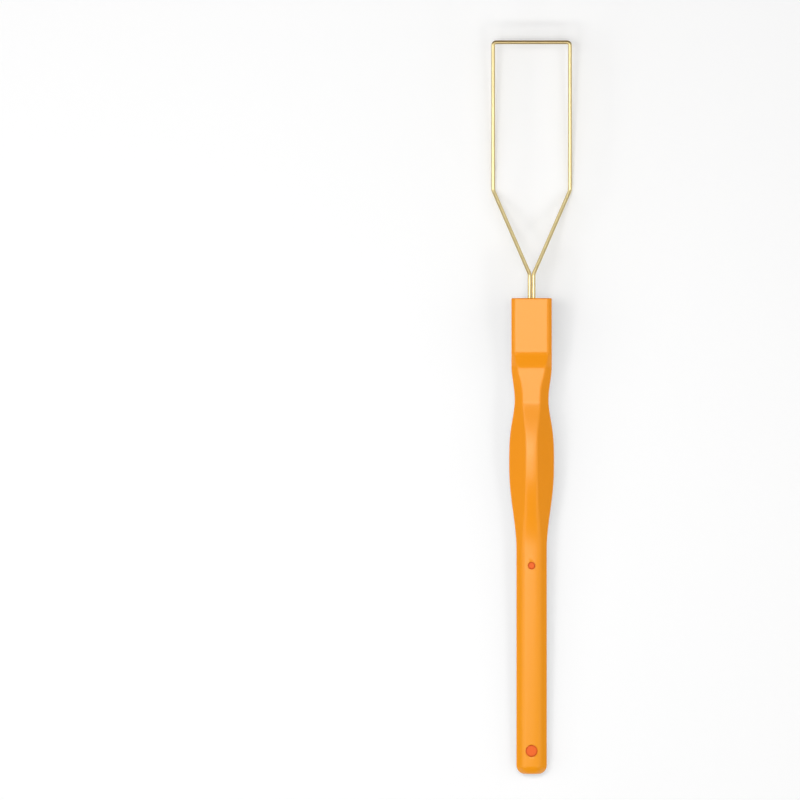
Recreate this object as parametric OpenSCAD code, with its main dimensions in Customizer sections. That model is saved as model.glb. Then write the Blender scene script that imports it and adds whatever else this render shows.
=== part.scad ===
// Wire keycap puller: a slim moulded handle and two sprung wire loops.
// The handle lies along Y with the loops towards +Y, its front face up.
// It is drawn as it lies on a table, on the two shoulders of the lower loop and the handle's far end.

/* [Handle lengths, from the wires to the far end] */
// Length of the level face at the head, where the wires go in
head_l = 13.25; // [11:0.05:18]
// Length of the ramp from the head's face down to the neck
ramp_l = 4.25; // [3:0.05:7]
// Length of the neck, from the ramp to the narrowest place
neck_l = 7.8; // [6:0.1:12]
// Length from the narrowest place to the fullest part of the grip
rise_l = 15.9; // [12:0.1:22]
// Length over which the grip narrows to the shaft
fall_l = 21.2; // [15:0.1:28]
// How far before its fullest width the grip is thickest
crest_before_l = 1.8; // [0:0.1:7]
// Length of the straight shaft, with its rounded end
shaft_l = 55.5; // [30:0.5:80]

/* [Handle widths] */
// Width of the head
head_w = 10.03; // [9:0.01:13]
// Width at the narrowest place of the neck
waist_w = 8.42; // [8:0.01:9]
// Width of the grip at its fullest
belly_w = 11.15; // [10:0.01:14]
// Width of the shaft
shaft_w = 7.55; // [6.5:0.01:8.5]
// Width of the level strip at the foot of the ramp
ramp_foot_w = 6.8; // [6:0.01:7.6]
// Width of the level strip at the narrowest place
waist_strip_w = 4.4; // [3.8:0.01:5]
// Width of the level strip on the crest of the grip
crest_strip_w = 2.85; // [2:0.01:3.6]
// Width of the level strip along the shaft
shaft_strip_w = 4.3; // [3.8:0.05:5]

/* [Handle thicknesses] */
// Thickness of the head
head_t = 9.2; // [8.4:0.1:12]
// Thickness of the neck
neck_t = 5.8; // [5.2:0.1:6.6]
// Thickness of the grip at its crest
belly_t = 9.4; // [9:0.1:11]
// Thickness of the shaft
shaft_t = 4.5; // [4.2:0.1:5.5]

/* [Handle edges] */
// Radius of the head's long edges
head_edge_r = 1.4; // [0.6:0.05:1.6]
// Radius of the shaft's long edges, where its level strip turns down
shaft_edge_r = 2.4; // [0.6:0.05:3]
// How far the middle of the shaft's front face stands above its edges
shaft_crown = 0.2; // [0.06:0.02:0.4]
// The same on the grip's crest
crest_crown = 0.1; // [0.02:0.01:0.16]
// Radius where the grip's level strip turns into its side facets
strip_edge_r = 0.9; // [0.2:0.05:1.2]
// Radius where the side facets turn into the sides
side_edge_r = 0.8; // [0.2:0.05:1]
// Radius round the head's end face
head_end_r = 0.35; // [0.2:0.05:0.6]
// Radius of the far end's corners, seen from the front
end_corner_r = 2.5; // [1.5:0.05:2.8]
// How far the far end's rounding reaches along the shaft, seen from the side
end_round_l = 1.9; // [1:0.05:2.5]
// How deep that rounding cuts into each face
end_round_t = 1.45; // [0.8:0.05:1.6]

/* [Wire loops] */
// Diameter of the spring wire
wire_d = 0.95; // [0.8:0.01:1.1]
// Gap between neighbouring wires where they leave the head
wire_gap = 0.05; // [0.03:0.01:0.1]
// Depth of the wires inside the head
tail_l = 11.5; // [8:0.1:12]
// Length of the straight bundle outside the head
exit_l = 5.94; // [4:0.01:10]
// Length along the handle over which the wires fork apart
fork_l = 20.76; // [16:0.01:26]
// Length along the handle from the shoulders to the tip bars
leg_l = 36.65; // [24:0.01:46]
// Distance between the two legs of a loop, the pitch of the keys
leg_pitch = 19.05; // [17:0.01:21]
// Distance between the two loops at their shoulders
shoulder_spread = 20; // [17:0.1:23]
// Distance between the two tip bars
tip_spread = 16; // [14:0.1:17]
// Bend radius of the wire's centre line where it forks and at the shoulders
fork_bend_r = 1.6; // [1.2:0.1:2.5]
// Bend radius of the wire's centre line at the tip corners
tip_bend_r = 0.8; // [0.7:0.05:2]

/* [Plugs] */
// Diameter of the recess nearer the grip
small_plug_d = 1.9; // [1.2:0.05:2.4]
// Distance from the start of the shaft to that recess
small_plug_from_grip = 3.9; // [2:0.1:12]
// Diameter of the recess near the far end
end_plug_d = 3; // [2:0.05:3.4]
// Distance from the far end to that recess
end_plug_from_end = 5.7; // [4.5:0.1:12]
// Depth of both recesses
plug_recess = 1.2; // [0.8:0.05:1.6]
// How far a plug lies below the handle's surface
plug_sink = 0.2; // [0.1:0.01:0.3]
// Bevel round the face of a plug
plug_bevel = 0.28; // [0.1:0.01:0.4]

/* [Hidden] */
$fn = 48;

// Clearances and overruns
wire_fit = 0.015;
plug_fit = 0.02;
cut_over = 0.5;

// Shares that give the curves their character
narrow_share = 0.8;
crease_share = 0.035;
ramp_edge_share = 0.3;
soft_share = 0.26;
firm_share = 0.45;
rise_share = 0.85;
least_side_share = 0.1;
tuck_share = 0.586;
fillet_share = 0.47;
seat_core_share = 0.3;

// Places along the handle, measured from the head's end face
ramp_at = head_l;
neck_at = ramp_at + ramp_l;
waist_at = neck_at + neck_l;
belly_at = waist_at + rise_l;
crest_at = belly_at - crest_before_l;
shaft_at = belly_at + fall_l;
handle_l = shaft_at + shaft_l;
narrow_at = ramp_at + ramp_l * narrow_share;
crease_at = waist_at + rise_l * crease_share;

// Eased steps from 0 to 1
function clamp(t) = min(1, max(0, t));
function s_curve(t) = (1 - cos(180 * clamp(t))) / 2;
function early(t, power) = 1 - pow(1 - clamp(t), power);
function late(t, power) = pow(clamp(t), power);
function mix(a, b, f) = a + (b - a) * f;
function firm_curve(t) = s_curve(mix(clamp(t), s_curve(t), firm_share));
function soft_ramp(t) =
    t <= 0 ? 0 :
    t >= 1 ? 1 :
    t < soft_share ? t * t / (2 * soft_share * (1 - soft_share)) :
    t > 1 - soft_share ? 1 - (1 - t) * (1 - t) / (2 * soft_share * (1 - soft_share)) :
    (t - soft_share / 2) / (1 - soft_share);

// Half the width, thickness and level strip of the handle at a distance s from the head's end
function half_w(s) =
    s < waist_at ? mix(head_w, waist_w, s_curve((s - narrow_at) / (waist_at - narrow_at))) / 2 :
    s < belly_at ? mix(waist_w, belly_w, s_curve(early((s - waist_at) / rise_l, 1.65))) / 2 :
    mix(belly_w, shaft_w, s_curve(late((s - belly_at) / fall_l, 1.12))) / 2;
function half_t(s) =
    s < neck_at ? mix(head_t, neck_t, soft_ramp((s - ramp_at) / ramp_l)) / 2 :
    s < crest_at ? mix(neck_t, belly_t, early(late((s - crease_at) / (crest_at - crease_at), 1.22), 1.95)) / 2 :
    mix(belly_t, shaft_t, firm_curve(late((s - crest_at) / (shaft_at - crest_at), 1.2))) / 2;
head_strip_w = head_w - 2 * tuck_share * head_edge_r;
function half_strip(s) =
    s < neck_at ? mix(head_strip_w, ramp_foot_w, clamp((s - ramp_at) / ramp_l)) / 2 :
    s < waist_at ? mix(ramp_foot_w, waist_strip_w, s_curve(early((s - neck_at) / neck_l, 1.5))) / 2 :
    s < belly_at ? mix(waist_strip_w, crest_strip_w, s_curve(early((s - waist_at) / rise_l, 1.9))) / 2 :
    mix(crest_strip_w, shaft_strip_w, s_curve(late((s - belly_at) / fall_l, 1.5))) / 2;

// Radius of the level strip's edges
function edge_r(s) =
    s < belly_at ? mix(head_edge_r, strip_edge_r, clamp((s - ramp_at) / (ramp_l * ramp_edge_share))) :
    mix(strip_edge_r, shaft_edge_r, s_curve((s - belly_at) / fall_l));

// How far the front face stands above the edges of its level strip
function crown(s) =
    s < crest_at ? crest_crown * s_curve((s - crease_at) / (crest_at - crease_at)) :
    mix(crest_crown, shaft_crown, s_curve(late((s - crest_at) / (shaft_at - crest_at), 1.35)));

// How much the rounded ends take off the width and the thickness
function round_off(x, r) = r * (1 - sqrt(max(0, 1 - pow(clamp(x / r), 2))));
function end_cut_w(s) =
    round_off(head_end_r - s, head_end_r) + round_off(s - handle_l + end_corner_r, end_corner_r);
function end_cut_t(s) =
    round_off(head_end_r - s, head_end_r)
    + end_round_t / end_round_l * round_off(s - handle_l + end_round_l, end_round_l);

// A corner of the section at p, with directions d1 and d2 to its neighbours, rounded by radius r
corner_steps = 4;
function unit(v) = v / norm(v);
function corner(p, d1, d2, r) =
    let (turn = 180 - acos(d1 * d2))
    let (reach = r * tan(turn / 2))
    let (centre = p + unit(d1 + d2) * r / cos(turn / 2))
    let (from = p + d1 * reach - centre)
    let (to = p + d2 * reach - centre)
    [for (i = [0:corner_steps])
        let (f = i / corner_steps)
        centre + (from * sin(turn * (1 - f)) + to * sin(turn * f)) / sin(turn)];

// A quarter section with x and z positive, from the side to the level strip, which drops
// by a share of the crown towards its edge: 1 on the front, 0 on the flat back
function quarter(s, crown_share) =
    let (w = half_w(s) - end_cut_w(s))
    let (t = half_t(s) - end_cut_t(s))
    let (strip = half_strip(s) * w / half_w(s))
    let (drop = crown(s) * crown_share * w / half_w(s))
    let (side = max(t * least_side_share, t - drop - rise_share * (w - strip)))
    let (outer = [w, side])
    let (inner = [strip, t - drop])
    let (slant = unit(inner - outer))
    let (level = unit([-strip, 2 * drop]))
    let (room = norm(inner - outer) * fillet_share)
    let (outer_turn = 180 - acos([0, -1] * slant))
    let (inner_turn = 180 - acos(level * -slant))
    let (outer_r = min(side_edge_r, min(room, side * fillet_share) / tan(outer_turn / 2)))
    let (inner_r = min(edge_r(s), min(room, strip * fillet_share) / tan(inner_turn / 2)))
    concat(corner(outer, [0, -1], slant, outer_r), corner(inner, -slant, level, inner_r));

// The crowned front face from one edge point to the point opposite, without the two
crown_steps = 8;
function crown_points(edge, t) =
    [for (i = [1:crown_steps - 1])
        let (across = 1 - 2 * i / crown_steps)
        [edge[0] * across, t - (t - edge[1]) * across * across]];

// The whole section, once round, as points of the handle at s
function ring(s) =
    let (q = quarter(s, 1))
    let (b = quarter(s, 0))
    let (n = len(q) - 1)
    [for (p = concat(
        q,
        crown_points(q[n], half_t(s) - end_cut_t(s)),
        [for (i = [n:-1:0]) [-q[i][0], q[i][1]]],
        [for (p = b) [-p[0], -p[1]]],
        [for (i = [n:-1:0]) [b[i][0], -b[i][1]]]
    )) [p[0], -s, p[1]]];

// Stations of the loft: close together on the rounded ends and the ramp
function spaced(a, b, n) = [for (i = [1:n]) mix(a, b, i / n)];
function eased_to_end(a, b, n) = [for (i = [1:n]) mix(a, b, sin(90 * i / n))];
head_end_steps = 4;
stations = concat(
    [for (i = [0:head_end_steps]) head_end_r * (1 - cos(90 * i / head_end_steps))],
    [ramp_at],
    spaced(ramp_at, neck_at, 12),
    spaced(neck_at, crease_at, 12),
    spaced(crease_at, belly_at, 14),
    spaced(belly_at, shaft_at, 16),
    [handle_l - end_corner_r],
    eased_to_end(handle_l - end_corner_r, handle_l, 9)
);
handle_rings = [for (s = stations) ring(s)];

// Skin over a list of rings, with both ends closed
function flatten(rings) = [for (r = rings) each r];
module skin(rings) {
    m = len(rings[0]);
    last = len(rings) - 1;
    sides = [for (i = [0:last - 1], j = [0:m - 1])
        let (a = i * m + j)
        let (b = i * m + (j + 1) % m)
        each [[a, b, b + m], [a, b + m, a + m]]];
    first_cap = [[for (j = [m - 1:-1:0]) j]];
    last_cap = [[for (j = [0:m - 1]) last * m + j]];
    polyhedron(points = flatten(rings), faces = concat(sides, first_cap, last_cap));
}

// Wire paths: the bundle's places in the head, the shoulders and the tip corners
wire_pitch = wire_d + wire_gap;
shoulder_y = exit_l + fork_l;
tip_y = shoulder_y + leg_l;
function loop_corners(side) = [
    [-wire_pitch / 2, -tail_l, side * wire_pitch / 2],
    [-wire_pitch / 2, exit_l, side * wire_pitch / 2],
    [-leg_pitch / 2, shoulder_y, side * shoulder_spread / 2],
    [-leg_pitch / 2, tip_y, side * tip_spread / 2],
    [leg_pitch / 2, tip_y, side * tip_spread / 2],
    [leg_pitch / 2, shoulder_y, side * shoulder_spread / 2],
    [wire_pitch / 2, exit_l, side * wire_pitch / 2],
    [wire_pitch / 2, -tail_l, side * wire_pitch / 2]
];
bend_radii = [0, fork_bend_r, fork_bend_r, tip_bend_r, tip_bend_r, fork_bend_r, fork_bend_r, 0];
bend_step = 9;

// The centre line of a bent wire, with every corner turned on its radius
function bend(a, p, b, r) =
    let (d1 = unit(a - p))
    let (d2 = unit(b - p))
    let (turn = 180 - acos(d1 * d2))
    let (reach = r * tan(turn / 2))
    let (centre = p + unit(d1 + d2) * r / cos(turn / 2))
    let (from = p + d1 * reach - centre)
    let (to = p + d2 * reach - centre)
    let (n = ceil(turn / bend_step))
    [for (i = [0:n]) centre + (from * sin(turn * (1 - i / n)) + to * sin(turn * i / n)) / sin(turn)];
function centre_line(c) =
    let (n = len(c) - 1)
    concat([c[0]], [for (i = [1:n - 1]) each bend(c[i - 1], c[i], c[i + 1], bend_radii[i])], [c[n]]);

// Rings of a round wire along a centre line, carried along without twist
wire_sides = 20;
function heading(line, i) =
    let (n = len(line) - 1)
    unit(line[min(i + 1, n)] - line[max(i - 1, 0)]);
function square_to(v, t) = unit(v - t * (v * t));
function wire_rings(line) = [
    for (
        i = 0, t = heading(line, 0), u = square_to([0, 0, 1], t);
        i < len(line);
        i = i + 1, t = heading(line, min(i, len(line) - 1)), u = square_to(u, t)
    )
        let (v = cross(t, u))
        [for (k = [0:wire_sides - 1])
            let (a = 360 * (k + 1 / 2) / wire_sides)
            line[i] + (u * cos(a) + v * sin(a)) * wire_d / 2]
];
front_rings = wire_rings(centre_line(loop_corners(1)));
back_rings = wire_rings(centre_line(loop_corners(-1)));

// The pose at rest: turned about X until the far end and the lower loop both touch the table
function lowest(points, tilt) = min([for (p = points) p[1] * sin(tilt) + p[2] * cos(tilt)]);
handle_points = flatten(handle_rings);
back_points = flatten(back_rings);
rest_span = shoulder_y + handle_l;
first_tilt = atan((shoulder_spread + wire_d - shaft_t) / 2 / rest_span);
lean = lowest(handle_points, first_tilt) - lowest(back_points, first_tilt);
rest_tilt = first_tilt + atan(lean / rest_span);
rest_lift = -lowest(concat(handle_points, back_points), rest_tilt);
function along(p) = p[1] * cos(rest_tilt) - p[2] * sin(rest_tilt);
rest_far = min([for (p = handle_points) along(p)]);
rest_near = max([for (p = concat(back_points, flatten(front_rings))) along(p)]);

module at_rest() {
    translate([0, -(rest_far + rest_near) / 2, rest_lift])
        rotate([rest_tilt, 0, 0])
            children();
}

// The four wires' seats in the head, joined in the middle
module wire_seats() {
    seat_l = tail_l + wire_fit;
    for (x = [-1, 1], z = [-1, 1]) {
        translate([x * wire_pitch / 2, cut_over, z * wire_pitch / 2])
            rotate([90, 0, 0])
                cylinder(d = wire_d + 2 * wire_fit, h = seat_l + cut_over);
    }
    core = wire_pitch + wire_d * seat_core_share;
    translate([-core / 2, -seat_l, -core / 2])
        cube([core, seat_l + cut_over, core]);
}

// A round recess for a plug, sunk into the front face at s
module recess(s, d) {
    translate([0, -s, shaft_t / 2 - plug_recess])
        cylinder(d = d, h = plug_recess + cut_over);
}

module plug(s, d) {
    r = d / 2 - plug_fit;
    h = plug_recess - plug_sink;
    translate([0, -s, shaft_t / 2 - plug_recess])
        rotate_extrude()
            polygon([[0, 0], [r, 0], [r, h - plug_bevel], [r - plug_bevel, h], [0, h]]);
}

small_plug_at = shaft_at + small_plug_from_grip;
end_plug_at = handle_l - end_plug_from_end;

module handle() {
    color("#f9a941") at_rest() difference() {
        skin(handle_rings);
        wire_seats();
        recess(small_plug_at, small_plug_d);
        recess(end_plug_at, end_plug_d);
    }
}

module front_loop() {
    color("#d9c48a") at_rest() skin(front_rings);
}

module back_loop() {
    color("#d9c48a") at_rest() skin(back_rings);
}

module small_plug() {
    color("#f4703a") at_rest() plug(small_plug_at, small_plug_d);
}

module end_plug() {
    color("#f4703a") at_rest() plug(end_plug_at, end_plug_d);
}

handle();
front_loop();
back_loop();
small_plug();
end_plug();
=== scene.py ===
import math
import bmesh
import bpy
from mathutils import Matrix, Vector


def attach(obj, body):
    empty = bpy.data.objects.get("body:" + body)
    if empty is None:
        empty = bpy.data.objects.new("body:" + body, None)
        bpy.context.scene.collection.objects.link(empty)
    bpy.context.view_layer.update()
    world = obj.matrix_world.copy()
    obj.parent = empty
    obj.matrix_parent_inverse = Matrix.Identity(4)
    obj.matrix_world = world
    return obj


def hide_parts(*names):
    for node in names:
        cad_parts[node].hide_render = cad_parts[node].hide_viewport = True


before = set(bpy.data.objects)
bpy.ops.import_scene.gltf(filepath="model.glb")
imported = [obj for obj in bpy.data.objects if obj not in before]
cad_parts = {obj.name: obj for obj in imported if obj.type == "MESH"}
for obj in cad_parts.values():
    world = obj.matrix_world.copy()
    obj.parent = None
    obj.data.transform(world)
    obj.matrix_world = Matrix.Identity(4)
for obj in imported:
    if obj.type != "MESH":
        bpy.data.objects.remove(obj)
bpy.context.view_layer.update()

# A wire keycap puller lying on a pale table: orange moulded handle, two gold wire loops,
# two red-orange plugs. The handle's own frame has +Y towards the loops and +Z up from its
# front face, with 0 at the head's end. It leans a little, because the loops prop it up.

mm = 0.001
rest = {
    "leanDeg": 3.27986,     # handle turned about X so that shaft end and lower loop touch the table
    "liftMm": 8.88503,
    "slideMm": 26.7875,
}
atRest = (
    Matrix.Translation((0, rest["slideMm"] * mm, rest["liftMm"] * mm))
    @ Matrix.Rotation(math.radians(rest["leanDeg"]), 4, "X")
)


def linear(hexColour, alpha=1.0):
    channels = [int(hexColour[i:i + 2], 16) / 255 for i in (1, 3, 5)]
    return tuple(c / 12.92 if c <= 0.04045 else ((c + 0.055) / 1.055) ** 2.4 for c in channels) + (alpha,)


def addNode(material, kind, settings=None, links=None):
    # settings: socket name or index to value, or an attribute of the node; links: input to (node, output)
    node = material.node_tree.nodes.new(kind)
    for key, value in (settings or {}).items():
        if isinstance(key, int) or key in node.inputs:
            node.inputs[key].default_value = value
        else:
            setattr(node, key, value)
    for key, (source, output) in (links or {}).items():
        material.node_tree.links.new(source.outputs[output], node.inputs[key])
    return node


def newMaterial(name):
    material = bpy.data.materials.new(name)
    material.use_nodes = True
    material.node_tree.nodes.clear()
    return material


def finishMaterial(material, shader):
    output = addNode(material, "ShaderNodeOutputMaterial")
    material.node_tree.links.new(shader.outputs[0], output.inputs["Surface"])
    return material


def place(name, verts, faces, material, replacing=None):
    mesh = bpy.data.meshes.new(name)
    mesh.from_pydata([atRest @ (Vector(v) * mm) for v in verts], [], faces)
    mesh.update()
    mesh.materials.append(material)
    piece = bpy.data.objects.new(name, mesh)
    bpy.context.scene.collection.objects.link(piece)
    for polygon in mesh.polygons:
        polygon.use_smooth = True
    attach(piece, "root")
    if replacing:
        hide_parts(replacing)
    return piece


# ABS, injection moulded against a fine spark-eroded tool: an even satin skin whose grain only
# softens the highlights, with faint clouding in the pigment and a broad pale sheen where it faces
# the light.
plastic = {
    "colour": "#ff9b00",
    "deepColour": "#fd9900",
    "paintedLightFarColour": "#ff9f00",  # painted light: towards the far end the orange is drawn a touch lighter, to match how brightly that end shows
    "sheen": "#fffbd9",
    "cloudMm": 16.0,         # size of the pigment clouds
    "grainMm": 0.16,         # spark-eroded grain, drawn about three times as coarse as the real one
    "grainDepthMm": 0.004,
    "roughness": 0.292,      # less its swing it stays above 0.275: a range across that drew thin lines
    "roughnessSwing": 0.015,
    "grainStrength": 0.35,
    "paintedLightFromMm": -15, "paintedLightToMm": -75,
    "ior": 1.57,
}


def mouldedAbs():
    material = newMaterial("mouldedAbsOrange")
    coords = addNode(material, "ShaderNodeTexCoord")
    clouds = addNode(material, "ShaderNodeTexNoise",
                     {"Scale": 1 / (plastic["cloudMm"] * mm), "Detail": 1.0, "Roughness": 0.4},
                     {"Vector": (coords, "Object")})
    cloudy = addNode(material, "ShaderNodeMix", {"data_type": "RGBA"}, {0: (clouds, "Fac")})
    cloudy.inputs[6].default_value = linear(plastic["deepColour"])
    cloudy.inputs[7].default_value = linear(plastic["colour"])
    along = addNode(material, "ShaderNodeSeparateXYZ", None, {"Vector": (coords, "Object")})
    # painted light: the orange turns a touch lighter towards the handle's far end
    farLightMask = addNode(material, "ShaderNodeMapRange",
                   {"From Min": plastic["paintedLightFromMm"] * mm, "From Max": plastic["paintedLightToMm"] * mm},
                   {"Value": (along, "Y")})
    tint = addNode(material, "ShaderNodeMix", {"data_type": "RGBA"}, {0: (farLightMask, "Result"), 6: (cloudy, 2)})
    tint.inputs[7].default_value = linear(plastic["paintedLightFarColour"])
    grain = addNode(material, "ShaderNodeTexNoise",
                    {"Scale": 1 / (plastic["grainMm"] * mm), "Detail": 2.0, "Roughness": 0.5},
                    {"Vector": (coords, "Object")})
    gloss = addNode(material, "ShaderNodeMapRange",
                    {"From Min": 0.0, "From Max": 1.0,
                     "To Min": plastic["roughness"] - plastic["roughnessSwing"],
                     "To Max": plastic["roughness"] + plastic["roughnessSwing"]},
                    {"Value": (clouds, "Fac")})
    bump = addNode(material, "ShaderNodeBump",
                   {"Strength": plastic["grainStrength"], "Distance": plastic["grainDepthMm"] * mm},
                   {"Height": (grain, "Fac")})
    shader = addNode(material, "ShaderNodeBsdfPrincipled",
                     {"IOR": plastic["ior"], "Specular Tint": linear(plastic["sheen"])},
                     {"Base Color": (tint, 2), "Roughness": (gloss, "Result"), "Normal": (bump, "Normal")})
    return finishMaterial(material, shader)


# The handle, lofted from the head (s = 0) to the far end along -Y. Every place is in mm.
handle = {
    "headLength": 13.25, "rampLength": 4.25, "neckLength": 7.8,
    "riseLength": 15.9, "fallLength": 21.2, "shaftLength": 55.5,
    "headWidth": 10.03, "waistWidth": 8.42, "bellyWidth": 11.15, "shaftWidth": 7.55,
    "rampFootWidth": 6.8, "waistStripWidth": 4.4, "crestStripWidth": 2.85, "shaftStripWidth": 4.3,
    "headThick": 9.2, "neckThick": 5.8, "bellyThick": 9.4, "shaftThick": 4.5,
    "crestBefore": 1.8, "shaftCrown": 0.2, "crestCrown": 0.1,
    "headEdge": 1.4, "shaftEdge": 2.4, "stripEdge": 0.9, "sideEdge": 0.8,
    "headEnd": 0.35, "endCorner": 2.2, "endRoundLength": 1.75, "endRoundDepth": 1.45, "endBevelShare": 0.6,
    "headEdgeShare": 0.586, "narrowShare": 0.8, "creaseShare": 0.035, "edgeShare": 0.3, "firmShare": 0.45,
    "slantDrop": 0.85, "cornerRoom": 0.47, "leastSide": 0.1,
    "cornerSteps": 8, "crownSteps": 16, "headSteps": 8, "endSteps": 22, "sharpDeg": 38,
    "smallPlugZone": 6, "endPlugZone": 8.2,    # closer stations here keep the shading even round the plugs
}
# how early or late along its stretch each change happens
curve = {
    "bellyWidth": 1.65, "shaftWidth": 1.12, "riseStart": 1.22, "rise": 1.95, "fall": 1.2,
    "waistStrip": 1.5, "crestStrip": 1.9, "shaftStrip": 1.5, "crown": 1.35,
}
handle["neckAt"] = handle["headLength"] + handle["rampLength"]
handle["waistAt"] = handle["neckAt"] + handle["neckLength"]
handle["bellyAt"] = handle["waistAt"] + handle["riseLength"]
handle["shaftAt"] = handle["bellyAt"] + handle["fallLength"]
handle["length"] = handle["shaftAt"] + handle["shaftLength"]
handle["narrowAt"] = handle["headLength"] + handle["rampLength"] * handle["narrowShare"]
handle["crestAt"] = handle["bellyAt"] - handle["crestBefore"]
handle["creaseAt"] = handle["waistAt"] + handle["riseLength"] * handle["creaseShare"]


def clamp(t):
    return min(1.0, max(0.0, t))


def sCurve(t):
    return (1 - math.cos(math.pi * clamp(t))) / 2


def early(t, power):
    return 1 - (1 - clamp(t)) ** power


def late(t, power):
    return clamp(t) ** power


def mix(a, b, f):
    return a + (b - a) * f


def firmCurve(t):
    return sCurve(mix(clamp(t), sCurve(t), handle["firmShare"]))


def softRamp(t, soft=0.26):
    t = clamp(t)
    if t < soft:
        return t * t / (2 * soft * (1 - soft))
    if t > 1 - soft:
        return 1 - (1 - t) ** 2 / (2 * soft * (1 - soft))
    return (t - soft / 2) / (1 - soft)


def roundOff(x, r):
    return r * (1 - math.sqrt(max(0.0, 1 - clamp(x / r) ** 2)))


def widthAt(s):
    h = handle
    if s < h["waistAt"]:
        part = (s - h["narrowAt"]) / (h["waistAt"] - h["narrowAt"])
        return mix(h["headWidth"], h["waistWidth"], sCurve(part))
    if s < h["bellyAt"]:
        widening = early((s - h["waistAt"]) / h["riseLength"], curve["bellyWidth"])
        return mix(h["waistWidth"], h["bellyWidth"], sCurve(widening))
    narrowing = late((s - h["bellyAt"]) / h["fallLength"], curve["shaftWidth"])
    return mix(h["bellyWidth"], h["shaftWidth"], sCurve(narrowing))


def thickAt(s):
    h = handle
    if s < h["neckAt"]:
        return mix(h["headThick"], h["neckThick"], softRamp((s - h["headLength"]) / h["rampLength"]))
    if s < h["crestAt"]:
        rise = late((s - h["creaseAt"]) / (h["crestAt"] - h["creaseAt"]), curve["riseStart"])
        return mix(h["neckThick"], h["bellyThick"], early(rise, curve["rise"]))
    fall = late((s - h["crestAt"]) / (h["shaftAt"] - h["crestAt"]), curve["fall"])
    return mix(h["bellyThick"], h["shaftThick"], firmCurve(fall))


def stripAt(s):
    # width of the level strip between the slanted facets
    h = handle
    headStrip = h["headWidth"] - 2 * h["headEdgeShare"] * h["headEdge"]
    if s < h["neckAt"]:
        return mix(headStrip, h["rampFootWidth"], clamp((s - h["headLength"]) / h["rampLength"]))
    if s < h["waistAt"]:
        part = early((s - h["neckAt"]) / h["neckLength"], curve["waistStrip"])
        return mix(h["rampFootWidth"], h["waistStripWidth"], sCurve(part))
    if s < h["bellyAt"]:
        part = early((s - h["waistAt"]) / h["riseLength"], curve["crestStrip"])
        return mix(h["waistStripWidth"], h["crestStripWidth"], sCurve(part))
    part = late((s - h["bellyAt"]) / h["fallLength"], curve["shaftStrip"])
    return mix(h["crestStripWidth"], h["shaftStripWidth"], sCurve(part))


def crownAt(s):
    h = handle
    if s < h["crestAt"]:
        return h["crestCrown"] * sCurve((s - h["creaseAt"]) / (h["crestAt"] - h["creaseAt"]))
    part = late((s - h["crestAt"]) / (h["shaftAt"] - h["crestAt"]), curve["crown"])
    return mix(h["crestCrown"], h["shaftCrown"], sCurve(part))


def handleSizes(s):
    h = handle
    width = widthAt(s)
    headCut = roundOff(h["headEnd"] - s, h["headEnd"])
    cutWidth = headCut + roundOff(s - h["length"] + h["endCorner"], h["endCorner"])
    # the far end falls away partly as a bevel and partly as a round
    endPart = clamp((s - h["length"] + h["endRoundLength"]) / h["endRoundLength"])
    bevelled = 1.1 * endPart * endPart / (endPart + 0.1)
    endCut = h["endRoundDepth"] * mix(roundOff(endPart, 1), bevelled, h["endBevelShare"])
    cutThick = headCut + endCut
    halfWidth = width / 2 - cutWidth
    scale = halfWidth / (width / 2)
    return halfWidth, thickAt(s) / 2 - cutThick, stripAt(s) / 2 * scale, crownAt(s) * scale


def edgeRadius(s):
    h = handle
    if s < h["bellyAt"]:
        part = clamp((s - h["headLength"]) / (h["rampLength"] * h["edgeShare"]))
        return mix(h["headEdge"], h["stripEdge"], part)
    return mix(h["stripEdge"], h["shaftEdge"], sCurve((s - h["bellyAt"]) / h["fallLength"]))


def cornerPoints(p, toA, toB, radius, steps):
    turn = math.pi - math.acos(max(-1.0, min(1.0, toA.dot(toB))))
    reach = radius * math.tan(turn / 2)
    centre = p + (toA + toB).normalized() * radius / math.cos(turn / 2)
    start, stop = p + toA * reach - centre, p + toB * reach - centre
    points = []
    for i in range(steps + 1):
        swung = start * math.sin(turn * (1 - i / steps)) + stop * math.sin(turn * i / steps)
        points.append(centre + swung / math.sin(turn))
    return points


def quarterSection(halfWidth, halfThick, strip, drop, edge):
    # from the side to the level strip, whose edge lies lower than the middle by the drop
    share = handle["cornerRoom"]
    side = max(halfThick * handle["leastSide"], halfThick - drop - handle["slantDrop"] * (halfWidth - strip))
    outer, inner = Vector((halfWidth, side)), Vector((strip, halfThick - drop))
    slant = (inner - outer).normalized()
    level = Vector((-strip, 2 * drop)).normalized()
    room = (inner - outer).length * share
    outerTurn = math.pi - math.acos(Vector((0, -1)).dot(slant))
    innerTurn = math.pi - math.acos(level.dot(-slant))
    outerRadius = min(handle["sideEdge"], min(room, side * share) / math.tan(outerTurn / 2))
    innerRadius = min(edge, min(room, strip * share) / math.tan(innerTurn / 2))
    steps = handle["cornerSteps"]
    return (cornerPoints(outer, Vector((0, -1)), slant, outerRadius, steps)
            + cornerPoints(inner, -slant, level, innerRadius, steps))


def handleRing(s):
    halfWidth, halfThick, strip, crown = handleSizes(s)
    front = quarterSection(halfWidth, halfThick, strip, crown, edgeRadius(s))
    back = quarterSection(halfWidth, halfThick, strip, 0, edgeRadius(s))
    edge = front[-1]
    ring = [(p.x, p.y) for p in front]
    for i in range(1, handle["crownSteps"]):
        across = 1 - 2 * i / handle["crownSteps"]
        ring.append((edge.x * across, halfThick - (halfThick - edge.y) * across * across))
    ring += [(-p.x, p.y) for p in reversed(front)]
    ring += [(-p.x, -p.y) for p in back] + [(p.x, -p.y) for p in reversed(back)]
    return [(x, -s, z) for x, z in ring]


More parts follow.
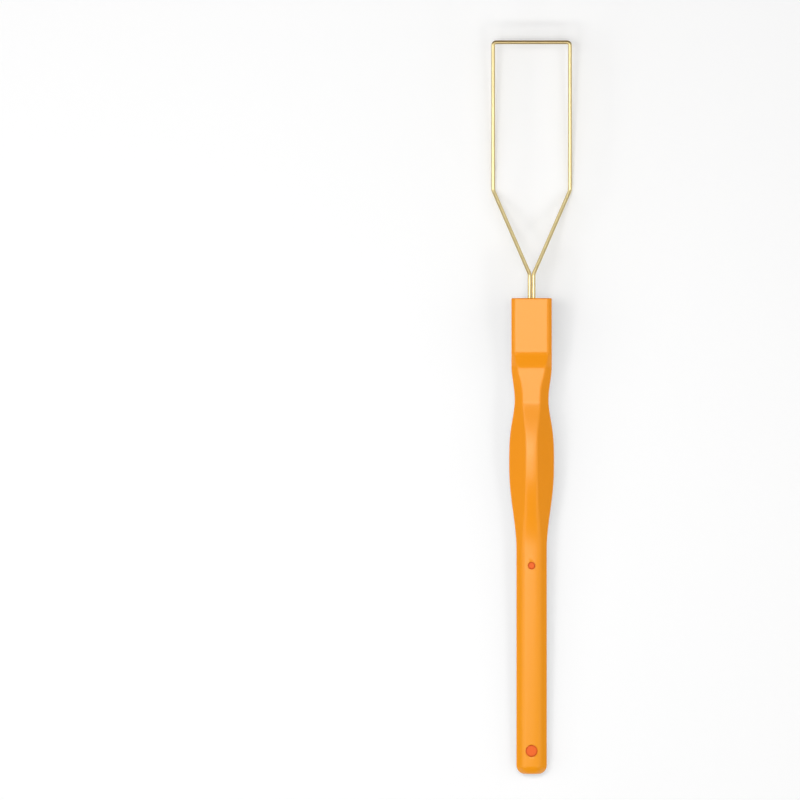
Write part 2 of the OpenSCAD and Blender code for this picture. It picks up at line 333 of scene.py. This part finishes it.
def handleStations():
    h = handle
    stations = []
    for i in range(h["headSteps"] + 1):
        stations.append(h["headEnd"] * (1 - math.cos(math.pi / 2 * i / h["headSteps"])))
    plainFrom, plainTo = h["shaftAt"] + h["smallPlugZone"], h["length"] - h["endPlugZone"]
    cornerFrom = h["length"] - h["endCorner"]
    for a, b, n in ((h["headEnd"], h["headLength"], 3), (h["headLength"], h["neckAt"], 26),
                    (h["neckAt"], h["creaseAt"], 24), (h["creaseAt"], h["bellyAt"], 34),
                    (h["bellyAt"], h["shaftAt"], 40), (h["shaftAt"], plainFrom, 6),
                    (plainFrom, plainTo, 4), (plainTo, cornerFrom, 8)):
        stations += [mix(a, b, i / n) for i in range(1, n + 1)]
    for i in range(1, h["endSteps"] + 1):
        stations.append(mix(cornerFrom, h["length"], math.sin(math.pi / 2 * i / h["endSteps"])))
    return stations


def loft(rings):
    count = len(rings[0])
    verts = [p for ring in rings for p in ring]
    faces = []
    for i in range(len(rings) - 1):
        here, there = i * count, (i + 1) * count
        faces += [(here + j, here + (j + 1) % count, there + (j + 1) % count, there + j) for j in range(count)]
    faces.append(tuple(reversed(range(count))))
    faces.append(tuple((len(rings) - 1) * count + j for j in range(count)))
    return verts, faces


def outward(piece):
    work = bmesh.new()
    work.from_mesh(piece.data)
    bmesh.ops.recalc_face_normals(work, faces=work.faces)
    work.to_mesh(piece.data)
    work.free()


def cut(piece, tools):
    # cuts the tool pieces out of a piece for good, then removes them
    for tool in tools:
        step = piece.modifiers.new("cut", "BOOLEAN")
        step.operation, step.solver, step.object = "DIFFERENCE", "EXACT", tool
    cutMesh = bpy.data.meshes.new_from_object(piece.evaluated_get(bpy.context.evaluated_depsgraph_get()))
    piece.modifiers.clear()
    piece.data = cutMesh
    for tool in tools:
        bpy.data.objects.remove(tool)


def turned(profile, sides):
    # a solid of revolution round +Z from (radius, height) pairs, the first and last on the axis
    verts, faces, rows = [], [], []
    for radius, height in profile:
        if radius < 1e-6:
            verts.append((0, 0, height))
            rows.append([len(verts) - 1] * sides)
        else:
            rows.append(list(range(len(verts), len(verts) + sides)))
            for k in range(sides):
                angle = 2 * math.pi * k / sides
                verts.append((radius * math.cos(angle), radius * math.sin(angle), height))
    for lower, upper in zip(rows, rows[1:]):
        for k in range(sides):
            face = [lower[k], lower[(k + 1) % sides], upper[(k + 1) % sides], upper[k]]
            face = [v for i, v in enumerate(face) if v not in face[:i]]
            if len(face) > 2:
                faces.append(tuple(face))
    return verts, faces


def arcProfile(centre, radius, startDeg, stopDeg, steps):
    angles = [math.radians(mix(startDeg, stopDeg, i / steps)) for i in range(steps + 1)]
    return [(centre[0] + radius * math.cos(a), centre[1] + radius * math.sin(a)) for a in angles]


def toolPiece(name, verts, faces, where=Matrix.Identity(4)):
    mesh = bpy.data.meshes.new(name)
    mesh.from_pydata([atRest @ (where @ Vector(v) * mm) for v in verts], [], faces)
    mesh.update()
    tool = bpy.data.objects.new(name, mesh)
    bpy.context.scene.collection.objects.link(tool)
    outward(tool)
    return tool


plugs = {
    "small_plug": {"diameter": 1.9, "at": handle["shaftAt"] + 3.9},
    "end_plug": {"diameter": 3.0, "at": handle["length"] - 5.7},
}
plugFit = {
    "recess": 1.2, "sink": 0.2, "gap": 0.02, "lip": 0.05, "groove": 0.2, "grooveDepth": 0.8, "edge": 0.07,
    "sides": 64, "sharpDeg": 35,
}
overshoot = 0.6    # how far each cutter stands out of the handle

wires = {
    "diameter": 0.95, "gap": 0.05, "tail": 11.5, "exit": 5.94, "fork": 20.76, "leg": 36.65,
    "legPitch": 19.05, "shoulderSpread": 20.0, "tipSpread": 16.0, "forkBend": 1.6, "tipBend": 0.8,
    "seatGap": 0.015, "seatDepth": 11.6, "seatSides": 40, "sides": 32, "bendStepDeg": 4.5, "sharpDeg": 40,
}
wirePitch = wires["diameter"] + wires["gap"]

plastic["material"] = mouldedAbs()
verts, faces = loft([handleRing(s) for s in handleStations()])
body = place("mouldedHandle", verts, faces, plastic["material"], "handle")
outward(body)
cutters = []
for name, plug in plugs.items():
    radius, lip = plug["diameter"] / 2, plugFit["lip"]
    # a straight recess with a soft lip at the handle's face
    profile = [(0, -plugFit["recess"]), (radius, -plugFit["recess"])]
    profile += [(radius + lip - x, -z) for x, z in arcProfile((0, lip), lip, 0, -90, 6)]
    profile += [(radius + lip, overshoot), (0, overshoot)]
    # turned half a step, so that no corner of the cutter lies on the handle's middle line
    halfStep = Matrix.Rotation(math.pi / plugFit["sides"], 4, "Z")
    where = Matrix.Translation((0, -plug["at"], handle["shaftThick"] / 2)) @ halfStep
    cutters.append(toolPiece("recessCutter", *turned(profile, plugFit["sides"]), where))
seatRadius, seatDepth = wires["diameter"] / 2 + wires["seatGap"], wires["seatDepth"]
layDown = Matrix.Rotation(math.radians(90), 4, "X")
for x in (-1, 1):
    for z in (-1, 1):
        profile = [(0, -overshoot), (seatRadius, -overshoot), (seatRadius, seatDepth), (0, seatDepth)]
        where = Matrix.Translation((x * wirePitch / 2, 0, z * wirePitch / 2)) @ layDown
        cutters.append(toolPiece("seatCutter", *turned(profile, wires["seatSides"]), where))
cut(body, cutters)
# a ray down at each plug has to end on the recess floor, not on a block that the boolean left
bodyNow = body.evaluated_get(bpy.context.evaluated_depsgraph_get())
for name, plug in plugs.items():
    above = atRest @ (Vector((0, -plug["at"], handle["shaftThick"] / 2 + 3)) * mm)
    spot = bodyNow.ray_cast(above, atRest.to_3x3() @ Vector((0, 0, -1)))[1]
    depth = handle["shaftThick"] / 2 - (atRest.inverted() @ spot / mm).z
    print("recess for", name, round(depth, 2), "mm deep, meant", plugFit["recess"])
for polygon in body.data.polygons:
    polygon.use_smooth = True
body.data.set_sharp_from_angle(angle=math.radians(handle["sharpDeg"]))
body.visible_diffuse = False    # the white table takes no orange cast from it, as in the photograph
evenOut = body.modifiers.new("evenShading", "WEIGHTED_NORMAL")
evenOut.keep_sharp, evenOut.weight = True, 100
print("handle lofted and cut:", len(body.data.polygons), "faces")


# Spring steel wire, drawn and gold-plated: a bright thin skin with a soft shine, and faint draw
# marks along the wire that stretch its highlights.
plating = {
    "colour": "#e1ce98",
    "shadeColour": "#decb94",
    "roughness": 0.292, "roughnessSwing": 0.015,
    "drawMarkMm": 0.09,       # spacing of the draw marks round the wire, coarser than real so that they show
    "drawStretch": 0.04,
    "paintedShadeTipColour": "#a89062",  # painted shade: the tip bars are drawn darker, standing in for reflections they lack
    "tipBarRoughness": 0.36,
    "tipBarFromMm": 88.9, "tipBarToMm": 89.7,
}


def platedWire():
    material = newMaterial("platedSpringWire")
    coords = addNode(material, "ShaderNodeTexCoord")
    stretch = addNode(material, "ShaderNodeMapping",
                      {"Scale": (1.0, plating["drawStretch"], 1.0)}, {"Vector": (coords, "Object")})
    marks = addNode(material, "ShaderNodeTexNoise",
                    {"Scale": 1 / (plating["drawMarkMm"] * mm), "Detail": 1.0, "Roughness": 0.5},
                    {"Vector": (stretch, "Vector")})
    tint = addNode(material, "ShaderNodeMix", {"data_type": "RGBA"}, {0: (marks, "Fac")})
    tint.inputs[6].default_value = linear(plating["shadeColour"])
    tint.inputs[7].default_value = linear(plating["colour"])
    along = addNode(material, "ShaderNodeSeparateXYZ", None, {"Vector": (coords, "Object")})
    # painted shade: towards the tip bars the gold is drawn darker, and the finish is made rougher
    tipBarMask = addNode(material, "ShaderNodeMapRange",
                   {"From Min": plating["tipBarFromMm"] * mm, "From Max": plating["tipBarToMm"] * mm},
                   {"Value": (along, "Y")})
    skin = addNode(material, "ShaderNodeMix", {"data_type": "RGBA"}, {0: (tipBarMask, "Result"), 6: (tint, 2)})
    skin.inputs[7].default_value = linear(plating["paintedShadeTipColour"])
    polish = addNode(material, "ShaderNodeMapRange",
                     {"From Min": 0.3, "From Max": 0.7,
                      "To Min": plating["roughness"] - plating["roughnessSwing"],
                      "To Max": plating["roughness"] + plating["roughnessSwing"]},
                     {"Value": (marks, "Fac")})
    dull = addNode(material, "ShaderNodeMix",
                   {3: plating["tipBarRoughness"]}, {0: (tipBarMask, "Result"), 2: (polish, "Result")})
    shader = addNode(material, "ShaderNodeBsdfPrincipled", {"Metallic": 1.0},
                     {"Base Color": (skin, 2), "Roughness": (dull, 0)})
    return finishMaterial(material, shader)


def bentLine(corners, radii, stepDeg):
    # the wire's centre line, each corner turned on its bend radius
    line = [corners[0]]
    for a, p, b, radius in zip(corners, corners[1:], corners[2:], radii):
        toA, toB = (a - p).normalized(), (b - p).normalized()
        turn = math.pi - math.acos(toA.dot(toB))
        line += cornerPoints(p, toA, toB, radius, math.ceil(math.degrees(turn) / stepDeg))
    return line + [corners[-1]]


def wireSkin(line, radius, sides):
    heading = [(line[min(i + 1, len(line) - 1)] - line[max(i - 1, 0)]).normalized() for i in range(len(line))]
    across = Vector((0, 0, 1))
    rings = []
    for p, ahead in zip(line, heading):
        across = (across - ahead * across.dot(ahead)).normalized()
        other = ahead.cross(across)
        angles = [2 * math.pi * k / sides for k in range(sides)]
        rings.append([p + (across * math.cos(a) + other * math.sin(a)) * radius for a in angles])
    return loft(rings)


plating["material"] = platedWire()
for node, side in (("front_loop", 1), ("back_loop", -1)):
    shoulderY = wires["exit"] + wires["fork"]
    oneSide = [(wirePitch / 2, -wires["tail"], wirePitch / 2), (wirePitch / 2, wires["exit"], wirePitch / 2),
               (wires["legPitch"] / 2, shoulderY, wires["shoulderSpread"] / 2),
               (wires["legPitch"] / 2, shoulderY + wires["leg"], wires["tipSpread"] / 2)]
    corners = [Vector((-x, y, side * z)) for x, y, z in oneSide]
    corners += [Vector((x, y, side * z)) for x, y, z in reversed(oneSide)]
    bends = [wires["forkBend"]] * 2 + [wires["tipBend"]] * 2 + [wires["forkBend"]] * 2
    middleLine = bentLine(corners, bends, wires["bendStepDeg"])
    verts, faces = wireSkin(middleLine, wires["diameter"] / 2, wires["sides"])
    piece = place(node.replace("_loop", "WireLoop"), verts, faces, plating["material"], node)
    outward(piece)
    piece.data.set_sharp_from_angle(angle=math.radians(wires["sharpDeg"]))
print("wire loops bent")


# Polypropylene plugs, moulded and pressed in: a redder, duller orange than the handle.
plugFinish = {
    "colour": "#fb6c18", "deepColour": "#f86816", "roughness": 0.55, "ior": 1.4,
    "grainMm": 0.2, "grainDepthMm": 0.004, "grainStrength": 0.3,
}


def mouldedPlug():
    material = newMaterial("mouldedPolypropyleneRed")
    coords = addNode(material, "ShaderNodeTexCoord")
    grain = addNode(material, "ShaderNodeTexNoise",
                    {"Scale": 1 / (plugFinish["grainMm"] * mm), "Detail": 2.0}, {"Vector": (coords, "Object")})
    tint = addNode(material, "ShaderNodeMix", {"data_type": "RGBA"}, {0: (grain, "Fac")})
    tint.inputs[6].default_value = linear(plugFinish["deepColour"])
    tint.inputs[7].default_value = linear(plugFinish["colour"])
    bump = addNode(material, "ShaderNodeBump",
                   {"Strength": plugFinish["grainStrength"], "Distance": plugFinish["grainDepthMm"] * mm},
                   {"Height": (grain, "Fac")})
    shader = addNode(material, "ShaderNodeBsdfPrincipled",
                     {"Roughness": plugFinish["roughness"], "IOR": plugFinish["ior"]},
                     {"Base Color": (tint, 2), "Normal": (bump, "Normal")})
    return finishMaterial(material, shader)


plugFinish["material"] = mouldedPlug()
for node, plug in plugs.items():
    # a flat disc that stands in a narrow groove, which reads as a dark ring round it
    radius, height = plug["diameter"] / 2 - plugFit["gap"], plugFit["recess"] - plugFit["sink"]
    disc, floorOfGroove, edge = radius - plugFit["groove"], height - plugFit["grooveDepth"], plugFit["edge"]
    profile = [(0, 0), (radius, 0), (radius, floorOfGroove), (disc, floorOfGroove)]
    profile += arcProfile((disc - edge, height - edge), edge, 0, 90, 6) + [(0, height)]
    where = Matrix.Translation((0, -plug["at"], handle["shaftThick"] / 2 - plugFit["recess"]))
    verts, faces = turned(profile, plugFit["sides"])
    piece = place(node.replace("_plug", "PlugCap"), [where @ Vector(v) for v in verts], faces,
                  plugFinish["material"], node)
    outward(piece)
    piece.data.set_sharp_from_angle(angle=math.radians(plugFit["sharpDeg"]))
print("plugs turned")


# Table top, matt white laminate: no sheen, only the soft shadows.
table = {"colour": "#f2f2f2", "fleckColour": "#efefef", "flecksPerMetre": 900.0, "half": 1.5, "glow": 0.17}


def laminate():
    material = newMaterial("whiteLaminate")
    coords = addNode(material, "ShaderNodeTexCoord")
    fleck = addNode(material, "ShaderNodeTexNoise",
                    {"Scale": table["flecksPerMetre"], "Detail": 2.0}, {"Vector": (coords, "Object")})
    tint = addNode(material, "ShaderNodeMix", {"data_type": "RGBA"}, {0: (fleck, "Fac")})
    tint.inputs[6].default_value = linear(table["fleckColour"])
    tint.inputs[7].default_value = linear(table["colour"])
    shader = addNode(material, "ShaderNodeBsdfPrincipled", {"Roughness": 1.0, "Specular IOR Level": 0.0},
                     {"Base Color": (tint, 2)})
    # seen by the camera or in the wires, it glows a little, which keeps it white beyond the shadows
    ray = addNode(material, "ShaderNodeLightPath")
    direct = addNode(material, "ShaderNodeMath", {"operation": "MAXIMUM"},
                     {0: (ray, "Is Camera Ray"), 1: (ray, "Is Glossy Ray")})
    glow = addNode(material, "ShaderNodeMath", {"operation": "MULTIPLY", 1: table["glow"]}, {0: (direct, 0)})
    white = addNode(material, "ShaderNodeEmission", {"Color": (1, 1, 1, 1)}, {"Strength": (glow, 0)})
    blend = addNode(material, "ShaderNodeAddShader", None, {0: (shader, 0), 1: (white, 0)})
    return finishMaterial(material, blend)


half = table["half"]
tableMesh = bpy.data.meshes.new("table")
tableCorners = [(-half, -half, 0), (half, -half, 0), (half, half, 0), (-half, half, 0)]
tableMesh.from_pydata(tableCorners, [], [(0, 1, 2, 3)])
tableMesh.materials.append(laminate())
floor = bpy.data.objects.new("table", tableMesh)
bpy.context.scene.collection.objects.link(floor)


# Studio: a softbox over the object, one on each side and two small ones low in front, in a pale room.
studio = {
    "over": {"at": (-0.085, 0.02, 0.50), "aim": (-0.085, 0.02, 0.0), "size": (0.33, 0.17), "radiance": 5.35},
    "left": {"at": (-0.52, -0.05, 0.56), "aim": (0.0, 0.0, 0.01), "size": (0.70, 0.70), "radiance": 1.05},
    "right": {"at": (0.52, -0.05, 0.56), "aim": (0.0, 0.0, 0.01), "size": (0.70, 0.70), "radiance": 0.72},
    "frontLeft": {"at": (-0.3, -0.5, 0.55), "aim": (0, 0.04, 0.01), "size": (0.17, 0.13), "radiance": 7.0},
    "frontRight": {"at": (0.3, -0.5, 0.55), "aim": (0, 0.04, 0.01), "size": (0.17, 0.13), "radiance": 7.0},
}
roomLevel = 0.24


def softbox(name, at, aim, size, radiance):
    lamp = bpy.data.lights.new(name, "AREA")
    lamp.shape, lamp.size, lamp.size_y = "RECTANGLE", size[0], size[1]
    lamp.energy = radiance * math.pi * size[0] * size[1]
    holder = bpy.data.objects.new(name, lamp)
    holder.location = at
    holder.rotation_mode = "QUATERNION"
    holder.rotation_quaternion = (Vector(at) - Vector(aim)).to_track_quat("Z", "Y")
    holder.visible_camera = False
    bpy.context.scene.collection.objects.link(holder)


for name, box in studio.items():
    softbox(name, **box)

world = bpy.data.worlds.new("paleRoom")
bpy.context.scene.world = world
world.use_nodes = True
world.node_tree.nodes.clear()
skyRay = addNode(world, "ShaderNodeLightPath")
level = addNode(world, "ShaderNodeMapRange",
                {"To Min": roomLevel, "To Max": 1.0}, {"Value": (skyRay, "Is Camera Ray")})
sky = addNode(world, "ShaderNodeBackground", {"Color": (1, 1, 1, 1)}, {"Strength": (level, "Result")})
worldOut = addNode(world, "ShaderNodeOutputWorld")
world.node_tree.links.new(sky.outputs[0], worldOut.inputs["Surface"])
bpy.context.scene.view_settings.view_transform = "Standard"


# Camera: square on to the handle's front face from far off, so that the two loops cover each
# other. The puller stands right of the middle, where the photograph has it.
camera = {"pxPerMm": 4.037, "frame": 800, "axisPx": 531.6, "headPx": 298.0, "distance": 0.9}
lens = bpy.data.cameras.new("camera")
lens.type = "ORTHO"
lens.ortho_scale = camera["frame"] / camera["pxPerMm"] * mm
lens.clip_start, lens.clip_end = 0.01, 10
eye = bpy.data.objects.new("camera", lens)
middleX = (camera["frame"] / 2 - camera["axisPx"]) / camera["pxPerMm"]
middleY = (camera["headPx"] - camera["frame"] / 2) / camera["pxPerMm"]
eye.matrix_world = atRest @ Matrix.Translation((middleX * mm, middleY * mm, camera["distance"]))
bpy.context.scene.collection.objects.link(eye)
bpy.context.scene.camera = eye
print("camera and lamps set")
